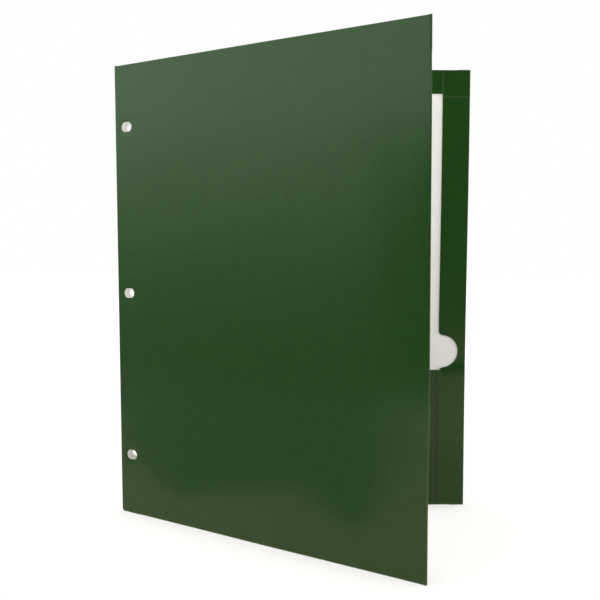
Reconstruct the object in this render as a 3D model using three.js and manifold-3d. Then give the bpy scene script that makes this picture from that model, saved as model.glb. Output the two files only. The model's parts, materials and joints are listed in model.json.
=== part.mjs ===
// A two-pocket presentation folder, standing on its lower edges and partly open.
// It is one die-cut blank of card, green film outside and bare inside, folded and glued.
// Each mesh is one panel of that blank between two folds, one fold, or one strip of glue.
// Millimetres, +Z up. The origin is at the foot of the spine, +X runs to the open side,
// the front cover lies on -Y and the back cover on +Y.

import * as THREE from 'three';
import { mergeVertices } from 'three/addons/utils/BufferGeometryUtils.js';
import Module from 'manifold-3d';

// Driving sizes of the folder
const HEIGHT = 295.3;
const COVER_WIDTH = 232.6;
const BOARD = 0.4;
const OPENING_DEG = 37.8;

// Flaps folded in on each cover
const TOP_HEM = 15.7;
const TOP_HEM_RELIEF = 2.5;
const SIDE_HEM = 18.0;
const POCKET_HEIGHT = 94.0;
const PUNCHED_MARGIN = 17.0;

// Relief cut in the side hem, its centre just above the pocket's top edge
const NOTCH_RADIUS = 11.0;
const NOTCH_DEPTH = 13.2;
const NOTCH_ABOVE_POCKET = 12.7;
const NOTCH_FILLET = 3.3;

// Side hem's ends, trimmed at a slant from its free edge
const TRIM_LENGTH = 10.4;
const TRIM_TOP = 1.7;
const TRIM_BOTTOM = 1.0;

// Punched holes, oblong, in each cover's bare margin beside the spine
const HOLE_COUNT = 3;
const HOLE_SPACING = 107.95;
const HOLE_FROM_SPINE = 10.2;
const HOLE_WIDTH = 9.0;
const HOLE_HEIGHT = 6.3;

// Clearances between the layers and at the folds
const GLUE_GAP = 0.2;
const GLUE_FILM = 0.1;
const POCKET_GAP = 0.4;
const SEAM = 0.1;
const FOLD_LIP = 0.15;
const CLOSED_GAP = 0.2;
const RAMP = 3.3;
const RAMP_CLEARANCE = 0.3;
const GLUE_INSET = 3.0;
const CUT_OVERRUN = 0.5;

// Smoothness of round stretches
const ARC_STEPS = 8;
const NOTCH_STEPS = 32;
const RAMP_STEPS = 5;
const BEAD_SIDES = 16;

// Each flap's lift is the space between it and the cover's inner face
const hemLift = GLUE_GAP;
const pocketLift = POCKET_GAP;
const overHemLift = hemLift + BOARD + GLUE_GAP;
const overPocketLift = pocketLift + BOARD + GLUE_GAP;
const thickestStack = Math.max(overHemLift, overPocketLift) + BOARD;

// A closed folder has both stacks of flaps between the covers, so its spine is as wide
const scoreSpacing = BOARD + 2 * thickestStack + CLOSED_GAP;
const scoreRadius = BOARD / 2;
const panelStart = scoreRadius + SEAM;

const foldRadius = (lift) => lift / 2 + BOARD;
const foldDepth = (lift) => foldRadius(lift) + FOLD_LIP;
const widestFold = foldDepth(Math.max(overHemLift, overPocketLift));
const coverEnd = COVER_WIDTH - widestFold - SEAM;
const topPanelEnd = HEIGHT - foldDepth(hemLift) - SEAM;
const bottomPanelEnd = foldDepth(pocketLift) + SEAM;
const sideHemEdge = COVER_WIDTH - SIDE_HEM;
const topHemEdge = HEIGHT - TOP_HEM;
const notchCentre = POCKET_HEIGHT + NOTCH_ABOVE_POCKET;

const film = { color: 0x2b4a2a, roughness: 0.32, metalness: 0.0 };
const glueLook = { color: 0xd9d2ba, roughness: 0.6, metalness: 0.0 };

const wasm = await Module();
wasm.setup();

// A closed mesh as a solid that can be cut
function solidOf(geometry) {
  const bare = geometry.clone();
  bare.deleteAttribute('normal');
  bare.deleteAttribute('uv');
  const merged = mergeVertices(bare, 1e-5);
  return new wasm.Manifold(new wasm.Mesh({
    numProp: 3,
    vertProperties: new Float32Array(merged.attributes.position.array),
    triVerts: new Uint32Array(merged.index.array),
  }));
}

function geometryOf(solid) {
  const cut = solid.getMesh();
  const geometry = new THREE.BufferGeometry();
  geometry.setAttribute('position', new THREE.BufferAttribute(new Float32Array(cut.vertProperties), 3));
  geometry.setIndex(new THREE.BufferAttribute(new Uint32Array(cut.triVerts), 1));
  geometry.computeVertexNormals();
  return geometry;
}

function cutFrom(geometry, tools) {
  const cut = tools.reduce((solid, tool) => solid.subtract(solidOf(tool)), solidOf(geometry));
  return geometryOf(cut);
}

// In a cover's own frame X runs from the spine to the outer edge, +Y is the outer face's
// side and Z is up. A point of a layer is given by its distance along, lift and height.
const innerFace = -BOARD / 2;

// A flat shape drawn along the cover and up, from one lift to another
function layer(shape, nearLift, farLift) {
  const depth = farLift - nearLift;
  const geometry = new THREE.ExtrudeGeometry(shape, { depth, bevelEnabled: false, curveSegments: ARC_STEPS });
  geometry.rotateX(Math.PI / 2);
  geometry.translate(0, innerFace - nearLift, 0);
  return geometry;
}

// A section drawn up and through the layers, carried along the cover
function alongCover(section, from, to) {
  const geometry = new THREE.ExtrudeGeometry(section, { depth: to - from, bevelEnabled: false });
  geometry.translate(0, 0, -to);
  geometry.rotateY(-Math.PI / 2);
  return geometry;
}

function roundedRectangle(left, bottom, right, top, radius) {
  const shape = new THREE.Shape();
  shape.moveTo(left + radius, bottom);
  shape.lineTo(right - radius, bottom);
  shape.absarc(right - radius, bottom + radius, radius, -Math.PI / 2, 0);
  shape.lineTo(right, top - radius);
  shape.absarc(right - radius, top - radius, radius, 0, Math.PI / 2);
  shape.lineTo(left + radius, top);
  shape.absarc(left + radius, top - radius, radius, Math.PI / 2, Math.PI);
  shape.lineTo(left, bottom + radius);
  shape.absarc(left + radius, bottom + radius, radius, Math.PI, Math.PI * 1.5);
  return shape;
}

function polygon(points) {
  return new THREE.Shape(points.map(([x, y]) => new THREE.Vector2(x, y)));
}

// Oblong hole with round ends, wider along the cover than it is high
function holePath(along, up) {
  const radius = HOLE_HEIGHT / 2;
  const reach = HOLE_WIDTH / 2 - radius;
  const path = new THREE.Path();
  path.absarc(along + reach, up, radius, -Math.PI / 2, Math.PI / 2);
  path.absarc(along - reach, up, radius, Math.PI / 2, Math.PI * 1.5);
  return path;
}

function holeHeights() {
  const lowest = HEIGHT / 2 - HOLE_SPACING * (HOLE_COUNT - 1) / 2;
  return Array.from({ length: HOLE_COUNT }, (_, i) => lowest + i * HOLE_SPACING);
}

// The cover's board reaches the top and the foot only beside the spine, where no flap folds
function coverPanel() {
  const footStep = PUNCHED_MARGIN - SEAM;
  const topStep = TOP_HEM_RELIEF - SEAM;
  const shape = polygon([
    [panelStart, 0],
    [footStep, 0],
    [footStep, bottomPanelEnd],
    [coverEnd, bottomPanelEnd],
    [coverEnd, topPanelEnd],
    [topStep, topPanelEnd],
    [topStep, HEIGHT],
    [panelStart, HEIGHT],
  ]);
  for (const up of holeHeights()) {
    shape.holes.push(holePath(HOLE_FROM_SPINE, up));
  }
  return layer(shape, -BOARD, 0);
}

// Section of a half-turn fold around an edge: distance in from the edge, and depth
function foldSection(lift, depth) {
  const radius = foldRadius(lift);
  const outerFace = BOARD / 2;
  const farFace = outerFace - 2 * radius;
  const middle = outerFace - radius;
  const arc = (r, turn) => Array.from({ length: ARC_STEPS + 1 }, (_, i) => {
    const angle = turn * (Math.PI / 2 - Math.PI * i / ARC_STEPS);
    return [radius - r * Math.cos(angle), middle + r * Math.sin(angle)];
  });
  return [
    [depth, outerFace],
    ...arc(radius, 1),
    [depth, farFace],
    [depth, farFace + BOARD],
    ...arc(radius - BOARD, -1),
    [depth, outerFace - BOARD],
  ];
}

// A closed tube through equal loops of points, capped flat at both ends
function loft(loops, section) {
  const count = section.length;
  const positions = loops.flat(2);
  const indices = [];
  for (let k = 0; k + 1 < loops.length; k += 1) {
    for (let i = 0; i < count; i += 1) {
      const a = k * count + i;
      const b = k * count + (i + 1) % count;
      indices.push(a, b, a + count, b, b + count, a + count);
    }
  }
  const caps = THREE.ShapeUtils.triangulateShape(section.map(([x, y]) => new THREE.Vector2(x, y)), []);
  const wound = THREE.ShapeUtils.isClockWise(section.map(([x, y]) => new THREE.Vector2(x, y))) ? -1 : 1;
  const last = (loops.length - 1) * count;
  for (const [a, b, c] of caps) {
    const [p, q] = wound > 0 ? [b, c] : [c, b];
    indices.push(a, q, p);
    indices.push(last + a, last + p, last + q);
  }
  const geometry = new THREE.BufferGeometry();
  geometry.setAttribute('position', new THREE.Float32BufferAttribute(positions, 3));
  geometry.setIndex(indices);
  return volumeOf(geometry) < 0 ? flipped(geometry) : geometry;
}

function volumeOf(geometry) {
  const at = geometry.attributes.position;
  const index = geometry.index.array;
  const [a, b, c] = [new THREE.Vector3(), new THREE.Vector3(), new THREE.Vector3()];
  let volume = 0;
  for (let i = 0; i < index.length; i += 3) {
    a.fromBufferAttribute(at, index[i]);
    b.fromBufferAttribute(at, index[i + 1]);
    c.fromBufferAttribute(at, index[i + 2]);
    volume += a.dot(b.cross(c)) / 6;
  }
  return volume;
}

function flipped(geometry) {
  const index = geometry.index.array;
  for (let i = 0; i < index.length; i += 3) {
    [index[i + 1], index[i + 2]] = [index[i + 2], index[i + 1]];
  }
  geometry.computeVertexNormals();
  return geometry;
}

// Side hem's lift at each height: over the pocket, on the cover, then over the top hem
function sideHemStations() {
  const ease = (share) => share * share * (3 - 2 * share);
  const stations = [{ up: 0, lift: overPocketLift }];
  const ramp = (start, from, to) => {
    for (let i = 0; i <= RAMP_STEPS; i += 1) {
      const share = i / RAMP_STEPS;
      stations.push({ up: start + share * RAMP, lift: from + (to - from) * ease(share) });
    }
  };
  ramp(POCKET_HEIGHT + RAMP_CLEARANCE, overPocketLift, hemLift);
  ramp(topHemEdge - RAMP_CLEARANCE - RAMP, hemLift, overHemLift);
  stations.push({ up: HEIGHT, lift: overHemLift });
  return stations;
}

// Relief notch: a round bite out of the free edge, its mouth rounded off on both sides
function notchShape() {
  const centre = sideHemEdge + NOTCH_DEPTH - NOTCH_RADIUS;
  const filletCentre = sideHemEdge + NOTCH_FILLET;
  const offset = filletCentre - centre;
  const reach = Math.sqrt((NOTCH_RADIUS + NOTCH_FILLET) ** 2 - offset ** 2);
  const lean = Math.atan2(reach, offset);
  const outside = sideHemEdge - CUT_OVERRUN;
  const shape = new THREE.Shape();
  shape.moveTo(outside, notchCentre - reach);
  shape.lineTo(sideHemEdge, notchCentre - reach);
  shape.absarc(filletCentre, notchCentre - reach, NOTCH_FILLET, Math.PI, Math.PI - lean, true);
  shape.absarc(centre, notchCentre, NOTCH_RADIUS, -lean, lean, false);
  shape.absarc(filletCentre, notchCentre + reach, NOTCH_FILLET, Math.PI + lean, Math.PI, true);
  shape.lineTo(outside, notchCentre + reach);
  return shape;
}

function sideHem() {
  const stations = sideHemStations();
  const near = stations.map(({ up, lift }) => [up, innerFace - lift]);
  const far = stations.map(({ up, lift }) => [up, innerFace - lift - BOARD]).reverse();
  const ribbon = alongCover(polygon([...near, ...far]), sideHemEdge, coverEnd);
  const trim = (end, inwards, past) => polygon([
    [sideHemEdge, end + inwards],
    [sideHemEdge + TRIM_LENGTH, end],
    [sideHemEdge + TRIM_LENGTH, end + past],
    [sideHemEdge - CUT_OVERRUN, end + past],
    [sideHemEdge - CUT_OVERRUN, end + inwards],
  ]);
  const shapes = [
    notchShape(),
    trim(HEIGHT, -TRIM_TOP, CUT_OVERRUN),
    trim(0, TRIM_BOTTOM, -CUT_OVERRUN),
  ];
  const through = thickestStack + CUT_OVERRUN;
  const tools = shapes.map((shape) => {
    const geometry = new THREE.ExtrudeGeometry(shape, {
      depth: through,
      bevelEnabled: false,
      curveSegments: NOTCH_STEPS,
    });
    geometry.rotateX(Math.PI / 2);
    geometry.translate(0, innerFace, 0);
    return geometry;
  });
  return cutFrom(ribbon, tools);
}

function sideHemFold() {
  const loops = sideHemStations().map(({ up, lift }) => (
    foldSection(lift, widestFold).map(([inward, depth]) => [COVER_WIDTH - inward, depth, up])
  ));
  return loft(loops, foldSection(overPocketLift, widestFold));
}

function topHemFold() {
  const section = foldSection(hemLift, foldDepth(hemLift));
  const loops = [TOP_HEM_RELIEF, coverEnd].map((along) => (
    section.map(([inward, depth]) => [along, depth, HEIGHT - inward])
  ));
  return loft(loops, section);
}

function pocketFold() {
  const section = foldSection(pocketLift, foldDepth(pocketLift));
  const loops = [PUNCHED_MARGIN, coverEnd].map((along) => (
    section.map(([inward, depth]) => [along, depth, inward])
  ));
  return loft(loops, section);
}

function topHem() {
  const shape = polygon([
    [TOP_HEM_RELIEF, topHemEdge],
    [coverEnd, topHemEdge],
    [coverEnd, topPanelEnd],
    [TOP_HEM_RELIEF, topPanelEnd],
  ]);
  return layer(shape, hemLift, hemLift + BOARD);
}

function pocket() {
  const shape = polygon([
    [PUNCHED_MARGIN, bottomPanelEnd],
    [coverEnd, bottomPanelEnd],
    [coverEnd, POCKET_HEIGHT],
    [PUNCHED_MARGIN, POCKET_HEIGHT],
  ]);
  return layer(shape, pocketLift, pocketLift + BOARD);
}

// A thin strip of set glue in the middle of the gap above a lift, its corners rounded
function glueStrip(left, bottom, right, top, liftBelow) {
  const near = liftBelow + (GLUE_GAP - GLUE_FILM) / 2;
  const corner = Math.min(right - left, top - bottom) / 4;
  return layer(roundedRectangle(left, bottom, right, top, corner), near, near + GLUE_FILM);
}

const glueLeft = sideHemEdge + GLUE_INSET;
const glueRight = coverEnd - GLUE_INSET;

function topHemGlue() {
  return glueStrip(TOP_HEM_RELIEF + GLUE_INSET, topHemEdge + GLUE_INSET, glueRight, topPanelEnd - GLUE_INSET, 0);
}

function sideHemGlue() {
  const notchTop = notchCentre + NOTCH_RADIUS + NOTCH_FILLET;
  const rampFoot = topHemEdge - RAMP_CLEARANCE - RAMP;
  return glueStrip(glueLeft, notchTop + GLUE_INSET, glueRight, rampFoot - GLUE_INSET, 0);
}

function cornerGlue() {
  return glueStrip(glueLeft, topHemEdge + GLUE_INSET, glueRight, topPanelEnd - GLUE_INSET, hemLift + BOARD);
}

function pocketGlue() {
  const notchFoot = notchCentre - NOTCH_RADIUS - NOTCH_FILLET;
  const top = Math.min(notchFoot, POCKET_HEIGHT) - GLUE_INSET;
  return glueStrip(glueLeft, bottomPanelEnd + GLUE_INSET, glueRight, top, pocketLift + BOARD);
}

function mesh(name, geometry, look) {
  const made = new THREE.Mesh(geometry, new THREE.MeshStandardMaterial(look));
  made.name = name;
  return made;
}

// The front cover is the back cover's mirror image
function mirrored(geometry) {
  const copy = geometry.index ? geometry.clone() : mergeVertices(geometry);
  copy.scale(1, -1, 1);
  return flipped(copy);
}

const coverPieces = [
  ['cover', coverPanel, film],
  ['top_hem_fold', topHemFold, film],
  ['top_hem', topHem, film],
  ['side_hem_fold', sideHemFold, film],
  ['side_hem', sideHem, film],
  ['pocket_fold', pocketFold, film],
  ['pocket', pocket, film],
  ['top_hem_glue', topHemGlue, glueLook],
  ['side_hem_glue', sideHemGlue, glueLook],
  ['corner_glue', cornerGlue, glueLook],
  ['pocket_glue', pocketGlue, glueLook],
];

function cover(side, sign) {
  const group = new THREE.Group();
  group.position.set(0, sign * scoreSpacing / 2, 0);
  group.rotation.z = sign * THREE.MathUtils.degToRad(OPENING_DEG / 2);
  for (const [piece, make, look] of coverPieces) {
    const geometry = sign > 0 ? make() : mirrored(make());
    group.add(mesh(`${side}_${piece}`, geometry, look));
  }
  return group;
}

// The spine panel between the two scores, and the bead that each score turns about
function spine() {
  const group = new THREE.Group();
  const width = scoreSpacing - 2 * panelStart;
  const panel = mesh('spine_panel', new THREE.BoxGeometry(BOARD, width, HEIGHT), film);
  panel.position.z = HEIGHT / 2;
  group.add(panel);
  for (const [side, sign] of [['front', -1], ['back', 1]]) {
    const bead = new THREE.CylinderGeometry(scoreRadius, scoreRadius, HEIGHT, BEAD_SIDES);
    bead.rotateX(Math.PI / 2);
    const score = mesh(`${side}_spine_score`, bead, film);
    score.position.set(0, sign * scoreSpacing / 2, HEIGHT / 2);
    group.add(score);
  }
  return group;
}

const folder = new THREE.Group();
folder.add(spine(), cover('front', -1), cover('back', 1));

export default folder;
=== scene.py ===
# A two-pocket presentation folder of laminated card, standing partly open.
# Each cover is one die-cut card, meshed flat in plan and then folded into its flaps.
# Lengths are in millimetres, unless a comment says otherwise.
import json
import math
from collections import namedtuple

import bmesh
import bpy
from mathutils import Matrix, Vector
from mathutils.geometry import delaunay_2d_cdt


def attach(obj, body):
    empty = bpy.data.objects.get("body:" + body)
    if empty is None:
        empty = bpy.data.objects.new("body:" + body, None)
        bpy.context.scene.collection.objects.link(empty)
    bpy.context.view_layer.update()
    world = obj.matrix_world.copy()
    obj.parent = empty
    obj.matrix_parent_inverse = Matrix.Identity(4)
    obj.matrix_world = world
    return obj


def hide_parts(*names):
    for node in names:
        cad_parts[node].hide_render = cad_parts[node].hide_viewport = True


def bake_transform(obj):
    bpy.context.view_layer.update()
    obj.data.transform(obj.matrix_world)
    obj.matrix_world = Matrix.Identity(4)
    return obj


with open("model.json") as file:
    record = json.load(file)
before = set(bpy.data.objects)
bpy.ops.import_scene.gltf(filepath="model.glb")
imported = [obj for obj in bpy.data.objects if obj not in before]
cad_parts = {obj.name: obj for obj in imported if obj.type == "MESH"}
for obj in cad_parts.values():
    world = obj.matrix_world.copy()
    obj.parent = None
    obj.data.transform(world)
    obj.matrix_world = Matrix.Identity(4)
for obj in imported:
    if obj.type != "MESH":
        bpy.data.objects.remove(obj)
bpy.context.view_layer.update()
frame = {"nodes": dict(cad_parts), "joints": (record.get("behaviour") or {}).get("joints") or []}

MM = 0.001
FRONT = -1
BACK = 1
SIDES = {"front": FRONT, "back": BACK}

# Camera: pixels of the 600 x 600 photograph, its place, its turns in degrees, its clip in metres
PICTURE_PX = 600
FOCAL_PX = 892.7
OPTICAL_AXIS_PX = (319.9, 312.2)
CAMERA_PLACE = (294.3, -533.1, 181.7)
CAMERA_YAW = 16.267
CAMERA_PITCH = 4.556
CAMERA_ROLL = 0.036
SENSOR_WIDTH = 36.0
CLIP_START_M = 0.01
CLIP_END_M = 50.0


def photo_camera():
    data = bpy.data.cameras.new("photo_camera")
    data.sensor_width = SENSOR_WIDTH
    data.lens = SENSOR_WIDTH * FOCAL_PX / PICTURE_PX
    data.shift_x = 0.5 - OPTICAL_AXIS_PX[0] / PICTURE_PX
    data.shift_y = OPTICAL_AXIS_PX[1] / PICTURE_PX - 0.5
    data.clip_start = CLIP_START_M
    data.clip_end = CLIP_END_M
    camera = bpy.data.objects.new("photo_camera", data)
    camera.location = Vector(CAMERA_PLACE) * MM
    camera.rotation_euler = (
        math.radians(90 - CAMERA_PITCH),
        math.radians(CAMERA_ROLL),
        math.radians(CAMERA_YAW),
    )
    bpy.context.collection.objects.link(camera)
    bpy.context.scene.camera = camera


# The hinge gives how far each cover has turned from closed, and where its axis stands
hinge = next(joint for joint in frame["joints"] if joint["name"] == "back_cover_hinge")
COVER_TURN = math.radians(-hinge["range_deg"][0])
AXIS_Y = hinge["pos_m"][1] / MM
COS_TURN = math.cos(COVER_TURN)
SIN_TURN = math.sin(COVER_TURN)


def in_row_frame(place, sign):
    """A point in a cover's own frame (along it, out of its face, up) as metres of the row frame."""
    along, out, up = place
    along += free_edge_shift(sign, up) * along / WIDTH
    x = along * COS_TURN - out * SIN_TURN
    y = AXIS_Y + along * SIN_TURN + out * COS_TURN
    return Vector((x, sign * y, up)) * MM


Span = namedtuple("Span", "low high")


def spans_of(node):
    """How far a node of the back cover reaches along it, out of its face and up."""
    places = []
    for vertex in frame["nodes"][node].data.vertices:
        x, y, up = vertex.co / MM
        y -= AXIS_Y
        places.append((x * COS_TURN + y * SIN_TURN, y * COS_TURN - x * SIN_TURN, up))
    return [Span(min(values), max(values)) for values in zip(*places)]


cover_along, cover_out, cover_up = spans_of("back_cover")
top_along, top_out, top_up = spans_of("back_top_hem")
side_along, side_out, _ = spans_of("back_side_hem")
pocket_along, pocket_out, pocket_up = spans_of("back_pocket")
WIDTH = spans_of("back_side_hem_fold")[0].high
HEIGHT = cover_up.high
BOARD = cover_out.high - cover_out.low
FLAT_END = cover_along.high

# A flap's lift is the space between it and the cover's inner face
TOP_LIFT = cover_out.low - top_out.high
POCKET_LIFT = cover_out.low - pocket_out.high
SIDE_LIFT = cover_out.low - side_out.high
SIDE_LIFT_OVER_POCKET = cover_out.low - side_out.low - BOARD
SIDE_LIFT_OVER_TOP = TOP_LIFT + BOARD + SIDE_LIFT

# Steps of the side hem beside the flaps that it laps over
RAMP = 3.3
RAMP_CLEARANCE = 0.3
RAMP_STEPS = 6

# Relief notch in the side hem and the slanted trims at its ends
NOTCH_RADIUS = 11.0
NOTCH_DEPTH = 13.2
NOTCH_ABOVE_POCKET = 12.7
NOTCH_FILLET = 3.3
TRIM_LENGTH = 10.4
TRIM_TOP = 1.7
TRIM_FOOT = 1.0

# Punched holes
HOLE_SPACING = 107.95
HOLE_FROM_SPINE = 10.2
HOLE_WIDTH = 9.0
HOLE_HEIGHT = 6.3

# The plan of the flat card. Each half-turn fold takes a band this wide, and this share of it
# stays straight at either end
BAND = 3.0
FOLD_STRAIGHT = 0.1
# The die's cut between a flap and the card beside it
SLIT = 0.1
# The side hem laps this much farther over the cover than its node does
HEM_MARGIN = 0.5
# The cover's card starts this far from the score's axis
CREASE = 0.45
# Radii of the worn corner at the spine's foot and of the flaps' inner corners
WORN_CORNER = 1.2
DIE_CORNER = 1.0

side_band_end = FLAT_END + BAND
top_band_end = top_up.high + BAND
pocket_band_end = pocket_up.low - BAND
side_flap_edge = side_band_end + FLAT_END - side_along.low + HEM_MARGIN
top_flap_edge = top_band_end + top_up.high - top_up.low
pocket_flap_edge = pocket_band_end - (pocket_up.high - pocket_up.low)


def eased(share):
    share = min(max(share, 0.0), 1.0)
    return share * share * (3 - 2 * share)


def side_lift(up):
    """The side hem steps down from the pocket to the cover, then up over the top hem."""
    above_pocket = eased((up - pocket_up.high - RAMP_CLEARANCE) / RAMP)
    near_top = eased((up - top_up.low + RAMP_CLEARANCE + RAMP) / RAMP)
    low = SIDE_LIFT_OVER_POCKET + (SIDE_LIFT - SIDE_LIFT_OVER_POCKET) * above_pocket
    return low + (SIDE_LIFT_OVER_TOP - SIDE_LIFT) * near_top


# The free edges run a little out of true: heights, and the edge's shift along the cover there
FREE_EDGE_SHIFTS = {
    FRONT: ((35, -0.3), (110, 0.45), (240, 0.5), (295, 0.1)),
    BACK: ((45, -0.68), (285, 0.92)),
}


def free_edge_shift(sign, up):
    marks = FREE_EDGE_SHIFTS[sign]
    shift = marks[0][1]
    for (low, first), (high, last) in zip(marks, marks[1:]):
        shift += (last - first) * eased((up - low) / (high - low))
    return shift


# How real card departs from flat, out of the cover's face. The bow is full at mid height, and
# BOW_AT_ENDS is the share of it that is left at the foot and the top
BOW = 0.5
BOW_AT_ENDS = 0.7
FLARE = 0.6
# The cover leans out over the side hem by this slope, which sets in over this distance
HEM_TILT = 0.004
HEM_TILT_EASE = 4.0
# The side hem's free edge presses a faint ridge through the cover
PRESS_RIDGE = 0.012
PRESS_WIDTH = 0.9
# Waves, each with its length along and up the cover and its start in radians. They fade out
# towards the spine and the free edge
WAVE = 0.05
WAVES = ((95.0, 160.0, 0.4), (-140.0, 75.0, 1.9))
WAVE_HELD_AT_SPINE = 40.0
WAVE_HELD_AT_EDGE = 30.0


def sway(along, up):
    """The cover bows outwards, gapes a little at its top corner and waves slightly."""
    share = min(along / side_along.low, 1.0)
    rise = BOW_AT_ENDS + (1 - BOW_AT_ENDS) * math.sin(math.pi * up / HEIGHT)
    bow = BOW * math.sin(math.pi * share) * rise
    flare = FLARE * (along / WIDTH) ** 2 * eased(up / HEIGHT)
    past_hem = along - side_along.low
    tilt = HEM_TILT * max(past_hem, 0.0) * eased(past_hem / HEM_TILT_EASE)
    free = eased(along / WAVE_HELD_AT_SPINE) * eased((WIDTH - along) / WAVE_HELD_AT_EDGE)
    wave = sum(
        math.sin(2 * math.pi * (along / length_along + up / length_up) + start)
        for length_along, length_up, start in WAVES
    )
    return bow + flare + tilt + WAVE * free * wave


# The flaps' free edges spring away from the cover where no glue holds them
HEM_SPRING = 0.12
HEM_SPRING_DEPTH = 9.0
HEM_HELD_ABOVE_POCKET = 12.0
HEM_HELD_BELOW_TOP = 25.0
POCKET_SPRING = 0.5
POCKET_HELD_BEFORE_HEM = 12.0


def side_spring(along, up):
    above_pocket = eased((up - pocket_up.high - RAMP) / HEM_HELD_ABOVE_POCKET)
    below_top = eased((top_up.low - RAMP - up) / HEM_HELD_BELOW_TOP)
    inward = 1 - eased((along - side_along.low) / HEM_SPRING_DEPTH)
    return HEM_SPRING * above_pocket * below_top * inward


def pocket_spring(along, up):
    reach = side_along.low - POCKET_HELD_BEFORE_HEM - pocket_along.low
    free = 1 - eased((along - pocket_along.low) / reach)
    rise = (up / pocket_up.high) ** 2
    return POCKET_SPRING * free * rise


# Punching rolls the film a little into each hole, where the mesh has rings at these margins
PUNCH_ROLL = 0.09
PUNCH_WIDTH = 0.55
PUNCH_RINGS = (0.12, 0.3, PUNCH_WIDTH)


def punch_roll(along, up):
    radius = HOLE_HEIGHT / 2
    reach = HOLE_WIDTH / 2 - radius
    beside = max(abs(along - HOLE_FROM_SPINE) - reach, 0)
    above = min(abs(up - centre) for centre in hole_heights())
    return PUNCH_ROLL * (1 - eased((math.hypot(beside, above) - radius) / PUNCH_WIDTH))


# The die presses the film down along the side hem's free edge, which then catches the light.
# The mesh has lines at these distances from it
EDGE_ROLL = 0.06
EDGE_ROLL_WIDTH = 0.7
EDGE_ROLL_LINES = (0.0, 0.4, EDGE_ROLL_WIDTH)


def edge_roll(inward):
    return EDGE_ROLL * max(1 - inward / EDGE_ROLL_WIDTH, 0) ** 2


# A place on the folded card: its middle and the way its film faces, both along, out and up,
# and how far the fold strains the film, from 0 to 1
Folded = namedtuple("Folded", "middle facing strain", defaults=(0.0,))


def around_fold(share, lift, flat_end, edge):
    """Distance and depth of the card's middle in a half-turn fold, and its facing."""
    radius = (lift + BOARD) / 2
    centre = edge - radius - BOARD / 2
    if share <= FOLD_STRAIGHT:
        reach = flat_end + (centre - flat_end) * share / FOLD_STRAIGHT
        return reach, 0.0, 0.0, 1.0
    if share >= 1 - FOLD_STRAIGHT:
        reach = flat_end + (centre - flat_end) * (1 - share) / FOLD_STRAIGHT
        return reach, -2 * radius, 0.0, -1.0
    angle = math.pi * (share - FOLD_STRAIGHT) / (1 - 2 * FOLD_STRAIGHT)
    sine, cosine = math.sin(angle), math.cos(angle)
    return centre + radius * sine, radius * (cosine - 1), sine, cosine


def fold_board(u, v):
    ridge = PRESS_RIDGE * math.exp(-(((u - side_along.low) / PRESS_WIDTH) ** 2))
    return Folded((u, sway(u, v) + ridge - punch_roll(u, v), v), (0, 1, 0))


def fold_side(u, v):
    lift = side_lift(v)
    if u <= side_band_end:
        share = (u - FLAT_END) / BAND
        along, depth, facing_along, facing_out = around_fold(share, lift, FLAT_END, WIDTH)
        place = along, depth + sway(along, v), v
        return Folded(place, (facing_along, facing_out, 0), facing_along)
    along = FLAT_END - (u - side_band_end)
    depth = -(lift + BOARD) - side_spring(along, v) + edge_roll(side_flap_edge - u)
    return Folded((along, depth + sway(along, v), v), (0, -1, 0))


def fold_top(u, v):
    if v <= top_band_end:
        share = (v - top_up.high) / BAND
        up, depth, facing_up, facing_out = around_fold(share, TOP_LIFT, top_up.high, HEIGHT)
        return Folded((u, depth + sway(u, up), up), (0, facing_out, facing_up), facing_up)
    up = top_up.high - (v - top_band_end)
    return Folded((u, sway(u, up) - TOP_LIFT - BOARD, up), (0, -1, 0))


def fold_pocket(u, v):
    if v >= pocket_band_end:
        share = (pocket_up.low - v) / BAND
        down, depth, facing_down, facing_out = around_fold(share, POCKET_LIFT, -pocket_up.low, 0)
        place = u, depth + sway(u, -down), -down
        return Folded(place, (0, facing_out, -facing_down), facing_down)
    up = pocket_up.low + pocket_band_end - v
    depth = -(POCKET_LIFT + BOARD) - pocket_spring(u, up)
    return Folded((u, depth + sway(u, up), up), (0, -1, 0))


# Outlines in the plan
HOLE_STEPS = 20
NOTCH_STEPS = 40
FILLET_STEPS = 10
CORNER_STEPS = 6


def arc(centre, radius, start, end, steps):
    """Points of an arc between two angles in degrees, both ends included."""
    angles = [math.radians(start + (end - start) * i / steps) for i in range(steps + 1)]
    return [(centre[0] + radius * math.cos(a), centre[1] + radius * math.sin(a)) for a in angles]


def hole_heights():
    return HEIGHT / 2 - HOLE_SPACING, HEIGHT / 2, HEIGHT / 2 + HOLE_SPACING


def hole_outlines(margin=0.0):
    """Outlines of the three holes, or rings around them at a margin."""
    radius = HOLE_HEIGHT / 2 + margin
    reach = (HOLE_WIDTH - HOLE_HEIGHT) / 2
    return [
        arc((HOLE_FROM_SPINE + reach, up), radius, -90, 90, HOLE_STEPS)
        + arc((HOLE_FROM_SPINE - reach, up), radius, 90, 270, HOLE_STEPS)
        for up in hole_heights()
    ]


def notch_outline():
    """The notch from its foot to its head, cut from the side flap's free edge."""
    centre_up = pocket_up.high + NOTCH_ABOVE_POCKET
    centre_u = side_flap_edge - (NOTCH_DEPTH - NOTCH_RADIUS)
    fillet_u = side_flap_edge - NOTCH_FILLET
    offset = centre_u - fillet_u
    reach = math.sqrt((NOTCH_RADIUS + NOTCH_FILLET) ** 2 - offset**2)
    lean = math.degrees(math.atan2(reach, offset))
    foot = arc((fillet_u, centre_up - reach), NOTCH_FILLET, 0, lean, FILLET_STEPS)
    head = arc((fillet_u, centre_up + reach), NOTCH_FILLET, -lean, 0, FILLET_STEPS)
    bite = arc((centre_u, centre_up), NOTCH_RADIUS, 180 + lean, 180 - lean, NOTCH_STEPS)
    return foot + bite[1:-1] + head


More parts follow.
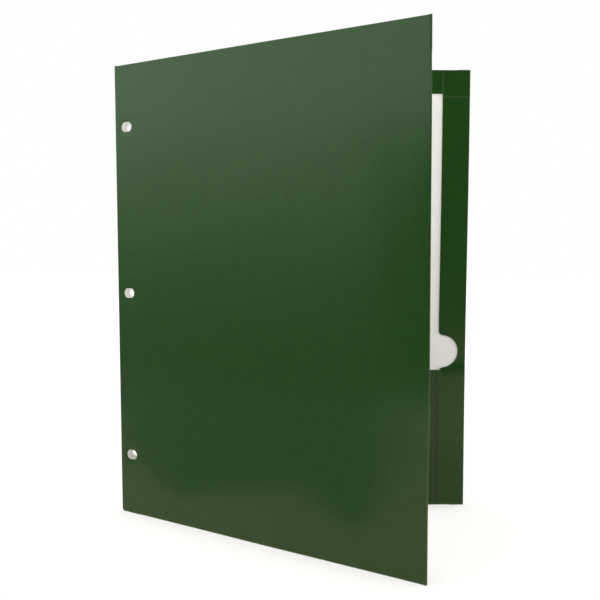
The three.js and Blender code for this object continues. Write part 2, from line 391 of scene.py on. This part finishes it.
def board_outline():
    corner = CREASE + WORN_CORNER
    pocket_end = pocket_along.low - SLIT
    top_end = top_along.low - SLIT
    return (
        arc((corner, WORN_CORNER), WORN_CORNER, 180, 270, CORNER_STEPS)
        + [(pocket_end, 0), (pocket_end, pocket_up.low)]
        + [(FLAT_END, pocket_up.low), (FLAT_END, top_up.high)]
        + [(top_end, top_up.high), (top_end, HEIGHT), (CREASE, HEIGHT)]
    )


def side_outline():
    trim = side_flap_edge - TRIM_LENGTH
    return (
        [(FLAT_END, 0), (trim, 0), (side_flap_edge, TRIM_FOOT)]
        + notch_outline()
        + [(side_flap_edge, HEIGHT - TRIM_TOP), (trim, HEIGHT), (FLAT_END, HEIGHT)]
    )


def top_outline():
    inner = (top_along.low + DIE_CORNER, top_flap_edge - DIE_CORNER)
    return [
        (top_along.low, top_up.high),
        (FLAT_END - SLIT, top_up.high),
        (FLAT_END - SLIT, top_flap_edge),
    ] + arc(inner, DIE_CORNER, 90, 180, CORNER_STEPS)


def pocket_outline():
    inner = (pocket_along.low + DIE_CORNER, pocket_flap_edge + DIE_CORNER)
    return [
        (FLAT_END - SLIT, pocket_flap_edge),
        (FLAT_END - SLIT, pocket_up.low),
        (pocket_along.low, pocket_up.low),
    ] + arc(inner, DIE_CORNER, 180, 270, CORNER_STEPS)


# Grid lines that the folds, steps and pressed ridges need
GRID = 8.0
SIDE_FLAP_GRID = 3.0
TOP_FLAP_GRID = 5.0
FOLD_STEPS = 12
SPINE_LINES = (1.1, 1.8)
HEM_LINES_REACH = 3.0
HEM_LINES_STEP = 0.5


def spread(low, high, step):
    count = max(1, round((high - low) / step))
    return [low + (high - low) * i / count for i in range(count + 1)]


def band_lines(start, width):
    """Lines across a fold's band: its ends, and even steps where it bends."""
    bend = 1 - 2 * FOLD_STRAIGHT
    shares = [FOLD_STRAIGHT + bend * i / FOLD_STEPS for i in range(FOLD_STEPS + 1)]
    return [start + width * share for share in (0.0, *shares, 1.0)]


def up_lines():
    lines = spread(0, HEIGHT, GRID) + [WORN_CORNER, pocket_up.low, top_up.high]
    for start in (pocket_up.high + RAMP_CLEARANCE, top_up.low - RAMP_CLEARANCE - RAMP):
        lines += spread(start, start + RAMP, RAMP / RAMP_STEPS)
    return lines


def along_lines():
    hem = side_along.low
    lines = spread(CREASE, FLAT_END, GRID)
    lines += SPINE_LINES
    lines += [top_along.low - SLIT, top_along.low, pocket_along.low - SLIT, pocket_along.low]
    lines += spread(hem - HEM_LINES_REACH, hem + HEM_LINES_REACH, HEM_LINES_STEP)
    return lines + [FLAT_END - SLIT]


def inside(point, outline):
    """True if the point lies within a closed outline."""
    x, y = point
    found = False
    for (x1, y1), (x2, y2) in zip(outline, outline[1:] + outline[:1]):
        if (y1 > y) != (y2 > y) and x < x1 + (x2 - x1) * (y - y1) / (y2 - y1):
            found = not found
    return found


def gap_to(point, outline):
    x, y = point
    return min(math.hypot(x - cx, y - cy) for cx, cy in outline)


# Points of the plan closer than SNAP are one point, and grid lines closer than LINE_GAP one line.
# Grid points keep CURVE_MARGIN clear of the points of outlines and rings
SNAP = 1e-4
LINE_GAP = 10 * SNAP
CURVE_MARGIN = 0.35


def thinned(lines):
    """Sorted grid lines without near repeats."""
    kept = []
    for line in sorted(lines):
        if not kept or line - kept[-1] > LINE_GAP:
            kept.append(line)
    return kept


def die_cut(outline, holes, u_lines, v_lines, rings=()):
    """Plan points and triangles of a flat card, with grid lines, rings and its exact outline."""
    points = []
    edges = []
    for loop in [outline, *holes, *rings]:
        first = len(points)
        points += loop
        edges += [(first + i, first + (i + 1) % len(loop)) for i in range(len(loop))]
    curves = list(points)
    first_u, first_v = [min(values) - SNAP for values in zip(*outline)]
    last_u, last_v = [max(values) + SNAP for values in zip(*outline)]
    for u in thinned(u_lines):
        for v in thinned(v_lines):
            within = first_u <= u <= last_u and first_v <= v <= last_v
            if within and gap_to((u, v), curves) > CURVE_MARGIN:
                points.append((u, v))
    solved = delaunay_2d_cdt([Vector(point) for point in points], edges, [], 0, SNAP)
    flat, triangles = solved[0], solved[2]
    kept = []
    for triangle in triangles:
        middle = sum((flat[i] for i in triangle), Vector((0, 0))) / 3
        if inside(middle, outline) and not any(inside(middle, hole) for hole in holes):
            kept.append(triangle)
    used = sorted({i for triangle in kept for i in triangle})
    order = {old: new for new, old in enumerate(used)}
    return [tuple(flat[i]) for i in used], [[order[i] for i in t] for t in kept]


# Meshes
FILM, BARE, CUT = range(3)
SHARP_EDGE = math.radians(35)


def set_attribute(mesh, name, kind, key, values):
    mesh.attributes.new(name, kind, "POINT")
    mesh.attributes[name].data.foreach_set(key, values)


def finish_mesh(name, vertices, faces, kinds, blank, strain, materials):
    mesh = bpy.data.meshes.new(name)
    mesh.from_pydata([tuple(vertex) for vertex in vertices], [], faces)
    for material in materials:
        mesh.materials.append(material)
    mesh.polygons.foreach_set("material_index", kinds)
    flat_blank = [value for place in blank for value in place]
    set_attribute(mesh, "blank_place", "FLOAT_VECTOR", "vector", flat_blank)
    set_attribute(mesh, "fold_strain", "FLOAT", "value", strain)
    work = bmesh.new()
    work.from_mesh(mesh)
    bmesh.ops.recalc_face_normals(work, faces=work.faces)
    work.to_mesh(mesh)
    work.free()
    mesh.shade_smooth()
    mesh.set_sharp_from_angle(angle=SHARP_EDGE)
    piece = bpy.data.objects.new(name, mesh)
    bpy.context.collection.objects.link(piece)
    return piece


def card_piece(name, near, far, faces, blank, strain, materials):
    """A closed card: its film side, its bare side and the cut edge between them."""
    count = len(near)
    kinds = [FILM] * len(faces) + [BARE] * len(faces)
    closed = [list(face) for face in faces]
    closed += [[count + i for i in reversed(face)] for face in faces]
    directed = {(a, b) for face in faces for a, b in zip(face, face[1:] + face[:1])}
    for a, b in sorted(directed):
        if (b, a) not in directed:
            closed.append([b, a, count + a, count + b])
            kinds.append(CUT)
    half = BOARD / 2
    places = [(u * MM, v * MM, half * MM) for u, v in blank]
    places += [(u * MM, v * MM, -half * MM) for u, v in blank]
    return finish_mesh(name, near + far, closed, kinds, places, strain + strain, materials)


def folded_piece(name, sign, plan, fold, materials):
    """Folds a plan with one of the fold functions and gives it the card's thickness."""
    points, faces = plan
    near = []
    far = []
    strain = []
    for u, v in points:
        place = fold(u, v)
        middle = Vector(place.middle)
        half = Vector(place.facing) * (BOARD / 2)
        near.append(in_row_frame(middle + half, sign))
        far.append(in_row_frame(middle - half, sign))
        strain.append(place.strain)
    return card_piece(name, near, far, faces, points, strain, materials)


# Spine: a narrow panel between two creases that bend with the covers. Both are upright strips,
# whose textures move on by STRIP_BLANK_STEP from one point of their path to the next
SPINE_STEPS = 6
STRIP_ROWS = 36
STRIP_BLANK_STEP = 0.25
# The crease is an arc that starts and ends this far from the score's axis
CREASE_TANGENT = 0.35
CREASE_STEPS = 10
CREASE_STRAIN = 0.6


def spine_path():
    """Points across the spine panel, each with the way its film faces."""
    half = AXIS_Y - CREASE
    return [((0.0, y), (-1.0, 0.0)) for y in spread(-half, half, 2 * half / SPINE_STEPS)]


def crease_path(sign):
    """From the spine panel round the score's axis onto the cover, with the film's facing."""
    turn = math.pi / 2 - COVER_TURN
    radius = CREASE_TANGENT / math.tan(turn / 2)
    path = [((0.0, sign * (AXIS_Y - CREASE)), (-1.0, 0.0))]
    for i in range(CREASE_STEPS + 1):
        angle = turn * i / CREASE_STEPS
        x = radius - radius * math.cos(angle)
        y = AXIS_Y - CREASE_TANGENT + radius * math.sin(angle)
        path.append(((x, sign * y), (-math.cos(angle), sign * math.sin(angle))))
    end = in_row_frame((CREASE, 0, 0), sign) / MM
    path.append(((end.x, end.y), (-SIN_TURN, sign * COS_TURN)))
    return path


def upright_strip(name, path, foot, first_u, strain_peak, materials):
    """A card strip that stands on a path, its foot at a height for each point of the path."""
    rows = spread(0, 1, 1 / STRIP_ROWS)
    near = []
    far = []
    blank = []
    strain = []
    for i, ((x, y), (facing_x, facing_y)) in enumerate(path):
        share = i / (len(path) - 1)
        low = foot(share)
        for row in rows:
            up = low + (HEIGHT - low) * row
            half = Vector((facing_x, facing_y, 0)) * (BOARD / 2)
            middle = Vector((x, y, up))
            near.append((middle + half) * MM)
            far.append((middle - half) * MM)
            blank.append((first_u + i * STRIP_BLANK_STEP, up))
            strain.append(strain_peak * math.sin(math.pi * share))
    count = len(rows)
    faces = [
        [i * count + k, (i + 1) * count + k, (i + 1) * count + k + 1, i * count + k + 1]
        for i in range(len(path) - 1)
        for k in range(count - 1)
    ]
    return card_piece(name, near, far, faces, blank, strain, materials)


# Glue strips between the layers
GLUE_STEP = 6.0
GLUE_CORNER_SHARE = 0.25


def glue_piece(name, sign, node, under_side_hem, materials):
    """A strip of set glue where its CAD node is, swayed with the card around it.

    Under the side hem it follows half of the hem's spring.
    """
    along, out, up = spans_of(node)
    radius = GLUE_CORNER_SHARE * min(along.high - along.low, up.high - up.low)
    corners = (
        ((along.high - radius, up.low + radius), -90),
        ((along.high - radius, up.high - radius), 0),
        ((along.low + radius, up.high - radius), 90),
        ((along.low + radius, up.low + radius), 180),
    )
    outline = []
    for centre, start in corners:
        outline += arc(centre, radius, start, start + 90, CORNER_STEPS)
    lines = spread(along.low, along.high, GLUE_STEP), spread(up.low, up.high, GLUE_STEP)
    points, faces = die_cut(outline, [], *lines)
    near = []
    far = []
    for u, v in points:
        extra = sway(u, v) - (side_spring(u, v) / 2 if under_side_hem else 0)
        near.append(in_row_frame((u, out.high + extra, v), sign))
        far.append(in_row_frame((u, out.low + extra, v), sign))
    return card_piece(name, near, far, faces, points, [0.0] * len(points), materials)


# Materials, with their colours as sRGB hex codes
INK_TONES = ("#1E4317", "#224819")
STRAINED_INK = "#3F6138"
BOARD_TONES = ("#F4F3F0", "#F8F8F5")
CUT_BOARD = "#D9D4C6"
CUT_FILM = "#2C5226"
GLUE_TONES = ("#CFC7AC", "#E2DCC8")
# Sizes of the textures' features, or their lengths along the card and up it
INK_MOTTLE = 7.0
FILM_FIBRE = 1.2
ROLLED_LINE = (90.0, 1.0)
CRAZING = 0.35
BOARD_FIBRE = (2.5, 0.5)
BOARD_CLOUD = 9.0
CUT_FIBRE = 0.15
GLUE_CLOUD = 3.0
# Most of a noise texture's values lie in this range
NOISE_RANGE = (0.3, 0.7)
FILM_ROUGHNESS = (0.17, 0.24)
FOLD_DULLING = 0.16
ROLLED_SHARE = 0.2
# The cut edge turns from board to film between these shares of the card's half thickness,
# along a line that is ragged by this depth
FILM_EDGE_SHARES = (0.86, 0.96)
RAGGED_DEPTH = 0.04


def linear(code):
    """An sRGB hex colour as linear red, green, blue and alpha."""
    channels = [int(code[i : i + 2], 16) / 255 for i in (1, 3, 5)]
    return [c / 12.92 if c <= 0.04045 else ((c + 0.055) / 1.055) ** 2.4 for c in channels] + [1.0]


def add(tree, kind, inputs=None, **settings):
    """Adds a node with its settings and its inputs, each a value or a socket to link from."""
    node = tree.nodes.new(kind)
    for name, value in settings.items():
        setattr(node, name, value)
    for name, value in (inputs or {}).items():
        if isinstance(value, bpy.types.NodeSocket):
            tree.links.new(value, node.inputs[name])
        else:
            node.inputs[name].default_value = value
    return node


def new_material(name):
    material = bpy.data.materials.new(name)
    material.use_nodes = True
    material.node_tree.nodes.clear()
    return material, material.node_tree


def per_metre(size):
    """A texture's scale for a feature of this many millimetres."""
    return 1 / (size * MM)


def mesh_attribute(tree, name, output):
    return add(tree, "ShaderNodeAttribute", attribute_name=name).outputs[output]


def stretched(tree, place, along, up):
    """A place for a texture with features of one size along the card and another up it."""
    scale = per_metre(along), per_metre(up), per_metre(along)
    return add(tree, "ShaderNodeMapping", {"Vector": place, "Scale": scale}).outputs["Vector"]


def noise(tree, place, scale, detail, roughness=0.5):
    inputs = {"Vector": place, "Scale": scale, "Detail": detail, "Roughness": roughness}
    return add(tree, "ShaderNodeTexNoise", inputs).outputs["Fac"]


def maths(tree, operation, *terms):
    return add(tree, "ShaderNodeMath", dict(enumerate(terms)), operation=operation).outputs[0]


def mixed(tree, data_type, factor, first, second):
    inputs = {"Factor": factor, "A": first, "B": second}
    return add(tree, "ShaderNodeMix", inputs, data_type=data_type).outputs["Result"]


def ranged(tree, value, source, target=(0.0, 1.0)):
    """A value moved from one range to another and held within it."""
    inputs = {
        "Value": value,
        "From Min": source[0],
        "From Max": source[1],
        "To Min": target[0],
        "To Max": target[1],
    }
    return add(tree, "ShaderNodeMapRange", inputs).outputs["Result"]


def ramp(tree, factor, positions, colours):
    """A colour ramp through hex colours at these positions."""
    node = add(tree, "ShaderNodeValToRGB", {"Fac": factor})
    stops = node.color_ramp.elements
    while len(stops) < len(colours):
        stops.new(0.5)
    for stop, position, colour in zip(stops, positions, colours):
        stop.position = position
        stop.color = linear(colour)
    return node.outputs["Color"]


def bumped(tree, height, strength, depth):
    inputs = {"Height": height, "Strength": strength, "Distance": depth * MM}
    return add(tree, "ShaderNodeBump", inputs).outputs["Normal"]


def end_material(tree, inputs):
    shader = add(tree, "ShaderNodeBsdfPrincipled", inputs)
    add(tree, "ShaderNodeOutputMaterial", {"Surface": shader.outputs["BSDF"]})


def gloss_laminated_film():
    """Gloss polypropylene film laminated over green ink on card, rolled on hot.

    It gives deep even green under a soft clear shine that shows the card's fibres faintly.
    """
    material, tree = new_material("gloss_laminated_film")
    place = mesh_attribute(tree, "blank_place", "Vector")
    mottle = noise(tree, place, per_metre(INK_MOTTLE), detail=3.0, roughness=0.6)
    ink = ramp(tree, mottle, (0.25, 0.75), INK_TONES)
    # Fibres under the film, drawn 2 to 3 times coarser than real ones so that they show
    fibres = noise(tree, place, per_metre(FILM_FIBRE), detail=4.0, roughness=0.55)
    # Rolling leaves faint lines along the cover
    rolled = noise(tree, stretched(tree, place, *ROLLED_LINE), 1.0, detail=2.0)
    relief = mixed(tree, "FLOAT", ROLLED_SHARE, fibres, rolled)
    gloss = ranged(tree, rolled, NOISE_RANGE, FILM_ROUGHNESS)
    # Folding strains the film, so it dulls and whitens there in fine crazing
    fold = mesh_attribute(tree, "fold_strain", "Fac")
    crazing = noise(tree, place, per_metre(CRAZING), detail=2.0)
    whitened = maths(tree, "MULTIPLY", fold, crazing)
    end_material(
        tree,
        {
            "Base Color": mixed(tree, "RGBA", whitened, ink, linear(STRAINED_INK)),
            "Roughness": maths(tree, "MULTIPLY_ADD", fold, FOLD_DULLING, gloss),
            "IOR": 1.48,
            "Normal": bumped(tree, relief, strength=0.3, depth=0.008),
        },
    )
    return material


def uncoated_board():
    """Bleached kraft board, uncoated, as it comes off the calender.

    It gives a warm matt white with faint fibres that run along the cover.
    """
    material, tree = new_material("uncoated_bleached_board")
    place = mesh_attribute(tree, "blank_place", "Vector")
    # Fibres are 1 to 3 mm long and far finer across, drawn coarser so that they show
    grain = stretched(tree, place, *BOARD_FIBRE)
    fibres = noise(tree, grain, 1.0, detail=5.0, roughness=0.65)
    clouds = noise(tree, place, per_metre(BOARD_CLOUD), detail=2.0)
    tone = mixed(tree, "FLOAT", 0.5, fibres, clouds)
    end_material(
        tree,
        {
            "Base Color": ramp(tree, tone, NOISE_RANGE, BOARD_TONES),
            "Roughness": 0.88,
            "IOR": 1.45,
            "Normal": bumped(tree, fibres, strength=0.5, depth=0.02),
        },
    )
    return material


def die_cut_edge():
    """The card's own edge, cut by a steel rule die.

    It gives a pale fibrous line with the film's green along one side.
    """
    material, tree = new_material("die_cut_board_edge")
    place = mesh_attribute(tree, "blank_place", "Vector")
    depth = add(tree, "ShaderNodeSeparateXYZ", {"Vector": place}).outputs["Z"]
    fibres = noise(tree, place, per_metre(CUT_FIBRE), detail=3.0)
    ragged = maths(tree, "MULTIPLY_ADD", fibres, RAGGED_DEPTH * MM, depth)
    film = ranged(tree, ragged, [BOARD / 2 * MM * share for share in FILM_EDGE_SHARES])
    colour = mixed(tree, "RGBA", film, linear(CUT_BOARD), linear(CUT_FILM))
    end_material(tree, {"Base Color": colour, "Roughness": 0.85, "IOR": 1.45})
    return material


def set_glue():
    """Hot-melt glue, pressed flat and set between two layers of card.

    It gives a cloudy cream with a waxy shine, seen only where two layers part.
    """
    material, tree = new_material("set_hot_melt_glue")
    place = add(tree, "ShaderNodeTexCoord").outputs["Object"]
    clouds = noise(tree, place, per_metre(GLUE_CLOUD), detail=2.0)
    tint = ramp(tree, clouds, (0.0, 1.0), GLUE_TONES)
    end_material(tree, {"Base Color": tint, "Roughness": 0.45, "IOR": 1.48})
    return material


# Stage: pale floor, white surroundings, and the lamps
WHITE = "#FFFFFF"
PAPER = "#EAE4DA"
ROOM_LIGHT = 0.72
BACKDROP_WHITE = 1.0
FLOOR_SIZE = 8000.0
# The floor's white grows from its share near the folder to plain white over this distance
FLOOR_WHITE = 1.25
FLOOR_WHITE_SHARE = 0.66
FLOOR_FADE = (350.0, 900.0)
# Ambient occlusion within this reach paints contact shade on the floor, keeping at least this share
# of its white
CONTACT_REACH = 22.0
CONTACT_SHADE = 0.5


def seen_straight(tree):
    """1 where a camera, mirror or see-through ray looks, 0 for the rays that carry light."""
    path = add(tree, "ShaderNodeLightPath").outputs
    seen = maths(tree, "MAXIMUM", path["Is Camera Ray"], path["Is Glossy Ray"])
    return maths(tree, "MAXIMUM", seen, path["Is Transmission Ray"])


def mixed_shader(tree, share, first, second):
    inputs = {0: share, 1: first.outputs[0], 2: second.outputs[0]}
    return add(tree, "ShaderNodeMixShader", inputs).outputs[0]


def white_room():
    world = bpy.data.worlds.new("white_room")
    bpy.context.scene.world = world
    world.use_nodes = True
    tree = world.node_tree
    tree.nodes.clear()
    lighting, backdrop = [
        add(tree, "ShaderNodeBackground", {"Color": linear(WHITE), "Strength": strength})
        for strength in (ROOM_LIGHT, BACKDROP_WHITE)
    ]
    surface = mixed_shader(tree, seen_straight(tree), lighting, backdrop)
    add(tree, "ShaderNodeOutputWorld", {"Surface": surface})


def stage_piece(name, sheets, material, hidden_from=()):
    """A stage object of flat sheets, each given by its corners."""
    corners = []
    faces = []
    for sheet in sheets:
        faces.append(range(len(corners), len(corners) + len(sheet)))
        corners += [Vector(corner) * MM for corner in sheet]
    mesh = bpy.data.meshes.new(name)
    mesh.from_pydata(corners, [], faces)
    mesh.materials.append(material)
    piece = bpy.data.objects.new(name, mesh)
    for ray in hidden_from:
        setattr(piece, f"visible_{ray}", False)
    bpy.context.collection.objects.link(piece)


def pale_floor():
    """White paper whose faint shadows show near the folder and fade out farther off."""
    material, tree = new_material("pale_floor")
    paper = add(tree, "ShaderNodeBsdfDiffuse", {"Color": linear(PAPER)})
    white = add(tree, "ShaderNodeEmission", {"Color": linear(WHITE), "Strength": FLOOR_WHITE})
    place = add(tree, "ShaderNodeTexCoord").outputs["Object"]
    distance = add(tree, "ShaderNodeVectorMath", {0: place}, operation="LENGTH").outputs["Value"]
    fade = [reach * MM for reach in FLOOR_FADE]
    whiteness = ranged(tree, distance, fade, (FLOOR_WHITE_SHARE, 1 / FLOOR_WHITE))
    # Close to the folder's foot, ambient occlusion lets less of the white through, which paints
    # contact shade, and the paper's own shadow shows more
    contact_occlusion = add(tree, "ShaderNodeAmbientOcclusion", {"Distance": CONTACT_REACH * MM})
    kept = ranged(tree, contact_occlusion.outputs["AO"], (0.0, 1.0), (CONTACT_SHADE, 1.0))
    whiteness_less_painted_shade = maths(tree, "MULTIPLY", kept, whiteness)
    share = maths(tree, "MULTIPLY", seen_straight(tree), whiteness_less_painted_shade)
    surface = mixed_shader(tree, share, paper, white)
    add(tree, "ShaderNodeOutputMaterial", {"Surface": surface})
    half = FLOOR_SIZE / 2
    sheet = ((-half, -half, 0), (half, -half, 0), (half, half, 0), (-half, half, 0))
    stage_piece("pale_floor", [sheet], material)


# Lamps: name, place, target, width and height, power in watts
FOLDER_MIDDLE = (110, -39, 150)
LAMPS = (
    ("key_softbox", (-320, -310, 510), FOLDER_MIDDLE, (400, 400), 1.0),
    ("strip_softbox", (40, -160, 470), (80, -30, 200), (450, 120), 0.3),
    ("mouth_softbox", (1800, 20, 160), FOLDER_MIDDLE, (1300, 600), 13.0),
)


def softbox(name, place, target, size, power):
    data = bpy.data.lights.new(name, "AREA")
    data.shape = "RECTANGLE"
    data.size = size[0] * MM
    data.size_y = size[1] * MM
    data.energy = power
    lamp = bpy.data.objects.new(name, data)
    lamp.location = Vector(place) * MM
    way = Vector(target) - Vector(place)
    lamp.rotation_euler = way.to_track_quat("-Z", "Y").to_euler()
    lamp.visible_camera = False
    lamp.visible_glossy = False
    bpy.context.collection.objects.link(lamp)


# Painted reflections: glowing sheets that only glossy rays see, and that light nothing. They paint
# what the gloss shows: a graded wall, which reaches farther round above a step, a cloth beside it
# and sheets on the floor. Places are points on the floor
# The sheets glow at this level, which paints their reflections in the gloss
PAINTED_REFLECTION_LEVEL = 1.25
PAINTED_REFLECTION_HIDDEN_FROM = ("camera", "diffuse", "transmission", "shadow")
WALL_TOP = 1000
WALL_STEP = 290
WALL_HEIGHTS = (55, 155, 245, 345, 600)
# Greys painted into the gloss as a reflected wall
PAINTED_REFLECTION_GREYS = ("#696969", "#929292", "#CCCCCC", "#FCFCFC", "#F0F0F0")
# Black painted into the gloss as a reflected cloth
PAINTED_REFLECTION_BLACK = "#050505"
FAR_LEFT = (-600, 60)
LEFT = (-560, -160)
LEFT_FRONT = (-178, -396)
LEFT_FRONT_HIGH = (-71, -497)
CAMERA_SIDE = ((60, -620), (294, -700), (700, -760), (950, -350))
SHADE_EDGE = ((-136, -68), (2, -44), (9, -88), (37, -122), (130, -100), (106, -140), (-11, -259))
NEAR_FLOOR = ((-220, -60), (60, -500), (294, -700), (700, -760), (950, -350), (250, 100))
REAR_FLOOR = ((-220, -60), (250, 100), (950, -350), (1100, 1300), (-900, 1300), (-900, 60))
# Each painted reflection on the floor: name, height, colour and corners
PAINTED_FLOOR_REFLECTIONS = (
    # Painted shade in the floor's reflection, at the folder's foot
    ("painted_reflected_floor_shade", 2, "#7C7C7C", (*SHADE_EDGE, LEFT_FRONT, LEFT)),
    # Painted reflections of a warm floor in front and of a greyer floor behind
    ("painted_reflection_warm_floor", 1, "#C7B8A9", NEAR_FLOOR),
    ("painted_reflection_rear_floor", 1, "#8F8C85", REAR_FLOOR),
)
# Painted shade on the floor between the covers, seen only in the gloss: its reach from the spine,
# its height and its colour
PAINTED_INNER_SHADES = ((300, 1.3, "#AB9E90"), (200, 1.6, "#8C8073"))


def graded_painted_reflection(name, sheets, heights, colours):
    """A glowing sheet that only glossy rays see, whose painted colour changes with height."""
    material, tree = new_material(name)
    place = add(tree, "ShaderNodeTexCoord").outputs["Object"]
    height = add(tree, "ShaderNodeSeparateXYZ", {"Vector": place}).outputs["Z"]
    low, high = heights[0], heights[-1]
    share = ranged(tree, height, (low * MM, high * MM))
    positions = [(up - low) / (high - low) for up in heights]
    colour = ramp(tree, share, positions, colours)
    glow = add(tree, "ShaderNodeEmission", {"Color": colour, "Strength": PAINTED_REFLECTION_LEVEL})
    add(tree, "ShaderNodeOutputMaterial", {"Surface": glow.outputs[0]})
    stage_piece(name, sheets, material, PAINTED_REFLECTION_HIDDEN_FROM)


def plain_painted_reflection(name, sheets, colour):
    graded_painted_reflection(name, sheets, (0, WALL_TOP), (colour, colour))


def standing(places, low, high):
    """Upright quads along a line on the floor."""
    return [
        ((*start, low), (*end, low), (*end, high), (*start, high))
        for start, end in zip(places, places[1:])
    ]


def painted_reflections():
    """Painted reflections: what the gloss shows, from glowing sheets that only glossy rays see.

    A graded wall stands on the left and a black cloth on the camera's side, both painted into the
    gloss. The floor's reflection is painted warm in front and greyer behind, with painted shade at
    the folder's foot and between its covers.
    """
    painted_wall = standing((FAR_LEFT, LEFT, LEFT_FRONT), 0, WALL_STEP)
    painted_wall += standing((FAR_LEFT, LEFT, LEFT_FRONT, LEFT_FRONT_HIGH), WALL_STEP, WALL_TOP)
    # Painted reflection of a graded wall
    graded_painted_reflection("painted_reflection_wall", painted_wall, WALL_HEIGHTS, PAINTED_REFLECTION_GREYS)
    painted_cloth = standing((LEFT_FRONT, *CAMERA_SIDE), 0, WALL_STEP)
    painted_cloth += standing((LEFT_FRONT_HIGH, *CAMERA_SIDE), WALL_STEP, WALL_TOP)
    # Painted reflection of a black cloth
    plain_painted_reflection("painted_reflection_cloth", painted_cloth, PAINTED_REFLECTION_BLACK)
    for name, up, colour, corners in PAINTED_FLOOR_REFLECTIONS:
        plain_painted_reflection(name, [[(*corner, up) for corner in corners]], colour)
    # Painted shade in the floor's reflection between the covers
    for number, (reach, up, colour) in enumerate(PAINTED_INNER_SHADES):
        half = AXIS_Y + reach * SIN_TURN / COS_TURN
        between = [(0, -AXIS_Y, up), (reach, -half, up), (reach, half, up), (0, AXIS_Y, up)]
        plain_painted_reflection(f"painted_reflected_inner_shade_{number}", [between], colour)


# Build
GLUE_STRIPS = ("top_hem_glue", "side_hem_glue", "corner_glue", "pocket_glue")


def flap_plans():
    """Plans of the cover and its three flaps, each with the fold function that shapes it."""
    heights = up_lines()
    lengths = along_lines()
    side_lines = band_lines(FLAT_END, BAND)
    side_lines += spread(side_band_end, side_flap_edge, SIDE_FLAP_GRID)
    side_lines += [side_flap_edge - inward for inward in EDGE_ROLL_LINES]
    top_lines = band_lines(top_up.high, BAND)
    top_lines += spread(top_band_end, top_flap_edge, TOP_FLAP_GRID)
    pocket_lines = band_lines(pocket_up.low, -BAND)
    pocket_lines += spread(pocket_flap_edge, pocket_band_end, GRID)
    rings = [ring for margin in PUNCH_RINGS for ring in hole_outlines(margin)]
    return {
        "cover": (die_cut(board_outline(), hole_outlines(), lengths, heights, rings), fold_board),
        "side_hem": (die_cut(side_outline(), [], side_lines, heights), fold_side),
        "top_hem": (die_cut(top_outline(), [], lengths, top_lines), fold_top),
        "pocket": (die_cut(pocket_outline(), [], lengths, pocket_lines), fold_pocket),
    }


def covers(card, glue):
    """Both covers with their flaps, each riding its own side, and the glue between the layers."""
    plans = flap_plans()
    for side, sign in SIDES.items():
        body = f"{side}_side"
        for part, (plan, fold) in plans.items():
            piece = folded_piece(f"{side}_{part}_card", sign, plan, fold, card)
            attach(piece, body)
            nodes = [f"{side}_{part}"] + ([] if part == "cover" else [f"{side}_{part}_fold"])
            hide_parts(*nodes)
        for strip in GLUE_STRIPS:
            name = f"{side}_{strip}"
            under_side_hem = strip == "side_hem_glue"
            piece = glue_piece(f"{name}_strip", sign, f"back_{strip}", under_side_hem, glue)
            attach(piece, body)
            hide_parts(name)


def spine(card):
    """The spine panel, and a crease on each side that blends from the spine to the cover."""

    def spine_foot(share):
        return WORN_CORNER * (1 - math.sin(math.pi * share))

    def crease_foot(share):
        return WORN_CORNER

    panel = upright_strip("spine_panel_card", spine_path(), spine_foot, -AXIS_Y, 0, card)
    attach(panel, "spine")
    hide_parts("spine_panel")
    for side, sign in SIDES.items():
        path = crease_path(sign)
        name = f"{side}_spine_crease"
        crease = upright_strip(name, path, crease_foot, 0, CREASE_STRAIN, card)
        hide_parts(f"{side}_spine_score")
        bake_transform(crease)


photo_camera()
white_room()
pale_floor()
painted_reflections()
for lamp in LAMPS:
    softbox(*lamp)

# A card's materials are for its film side, its bare side and its cut edge
card = [gloss_laminated_film(), uncoated_board(), die_cut_edge()]
covers(card, [set_glue()] * 3)
spine(card)

bpy.context.scene.view_settings.view_transform = "Standard"
